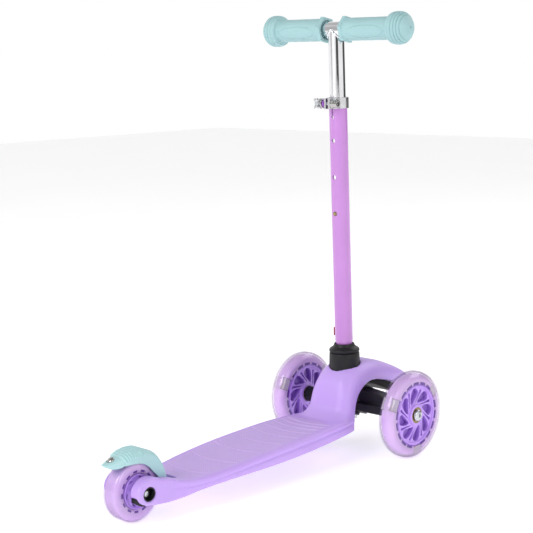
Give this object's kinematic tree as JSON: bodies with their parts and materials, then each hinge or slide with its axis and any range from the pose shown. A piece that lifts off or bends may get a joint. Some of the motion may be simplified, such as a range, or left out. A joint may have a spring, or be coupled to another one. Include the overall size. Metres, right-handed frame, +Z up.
{
  "type": "kick scooter",
  "caption": "Toddler's lean-to-steer kick scooter: paired front wheels on a sprung truck, a small rear wheel under a foot brake, a wide deck, and a telescoping T-bar in a clamped column.",
  "frame": {"origin": "middle of the whole scooter's box, on the floor under its wheels", "axes": "+X is the rider's right, +Y is forward towards the front wheels, +Z is up"},
  "size_m": [0.2496, 0.5899, 0.6037],
  "materials": {
    "deck_plastic": "satin, fine texture on the tread",
    "black_plastic": "satin",
    "column_paint": "gloss enamel",
    "coral_fabric": "plain",
    "polished_aluminium": "polished",
    "chrome": "mirror",
    "steel": "zinc plated",
    "brass": "satin",
    "washer_plastic": "satin",
    "mint_grip": "soft matt",
    "mint_plastic": "satin",
    "bushing": "matt",
    "urethane": "translucent, polished",
    "violet_plastic": "satin",
    "clear_plastic": "clear"
  },
  "bodies": {
    "deck": {"deck_body": "deck_plastic", "arch_block": "black_plastic", "collar_base": "black_plastic", "collar_cap": "black_plastic", "column_socket": "steel", "column_tube": "column_paint", "column_tag": "coral_fabric", "clamp_ring": "polished_aluminium", "clamp_bolt": "steel", "clamp_nut": "chrome", "clamp_washer": "washer_plastic", "clamp_saddle": "chrome", "lever_pin": "steel", "king_bolt": "steel", "lean_bushing_upper": "bushing", "lean_bushing_lower": "bushing", "fork_insert_right": "black_plastic", "fork_insert_left": "black_plastic", "rear_spacer_right": "steel", "rear_spacer_left": "steel", "rear_axle_bolt": "steel", "rear_axle_nut": "steel", "brake_pin": "steel", "brake_spring": "steel"},
    "truck": {"truck_beam": "black_plastic", "front_axle_bolt_right": "steel", "front_axle_bolt_left": "steel"},
    "front_right_wheel": {"front_right_tyre": "urethane", "front_right_core": "violet_plastic", "front_right_bearing_left": "brass", "front_right_bearing_right": "brass", "front_right_bearing_spacer": "steel", "front_right_light_1": "clear_plastic", "front_right_light_2": "clear_plastic", "front_right_light_3": "clear_plastic"},
    "front_left_wheel": {"front_left_tyre": "urethane", "front_left_core": "violet_plastic", "front_left_bearing_left": "brass", "front_left_bearing_right": "brass", "front_left_bearing_spacer": "steel", "front_left_light_1": "clear_plastic", "front_left_light_2": "clear_plastic", "front_left_light_3": "clear_plastic"},
    "rear_wheel": {"rear_tyre": "urethane", "rear_core": "violet_plastic", "rear_bearing_left": "brass", "rear_bearing_right": "brass", "rear_bearing_spacer": "steel"},
    "brake": {"brake_lever": "mint_plastic", "brake_plate": "steel", "brake_rivet": "chrome"},
    "handlebar": {"handlebar_tube": "chrome", "grip_right": "mint_grip", "grip_left": "mint_grip", "button_spring": "steel"},
    "detent": {"detent_button": "brass"},
    "quick_release": {"quick_release_lever": "polished_aluminium"}
  },
  "joints": [
    {"name": "lean", "type": "hinge", "parent": "deck", "child": "truck", "pos_m": [0, 0.1745, 0.06], "axis": [0, 0.3987, 0.9171], "range_deg": [-12, 12], "stiffness_Nm_per_rad": 30},
    {"name": "front_right_spin", "type": "hinge", "parent": "truck", "child": "front_right_wheel", "pos_m": [0.098, 0.1745, 0.06], "axis": [1, 0, 0], "continuous": true},
    {"name": "front_left_spin", "type": "hinge", "parent": "truck", "child": "front_left_wheel", "pos_m": [-0.098, 0.1745, 0.06], "axis": [1, 0, 0], "continuous": true},
    {"name": "rear_spin", "type": "hinge", "parent": "deck", "child": "rear_wheel", "pos_m": [0, -0.2495, 0.038], "axis": [1, 0, 0], "continuous": true},
    {"name": "brake_press", "type": "hinge", "parent": "deck", "child": "brake", "pos_m": [0, -0.1975, 0.0335], "axis": [1, 0, 0], "range_deg": [0, 3.2], "stiffness_Nm_per_rad": 8},
    {"name": "height_adjust", "type": "slide", "parent": "deck", "child": "handlebar", "axis": [0, -0.0262, 0.9997], "range_m": [0, 0.1], "deforming": ["detent_button"]},
    {"name": "button_press", "type": "slide", "parent": "handlebar", "child": "detent", "axis": [0, 0.9997, 0.0262], "range_m": [0, 0.0038], "stiffness_N_per_m": 500, "deforming": ["button_spring"]},
    {"name": "lever_open", "type": "hinge", "parent": "deck", "child": "quick_release", "pos_m": [-0.0191, 0.12442, 0.48392], "axis": [0, -0.0262, 0.9997], "range_deg": [0, 110]}
  ]
}
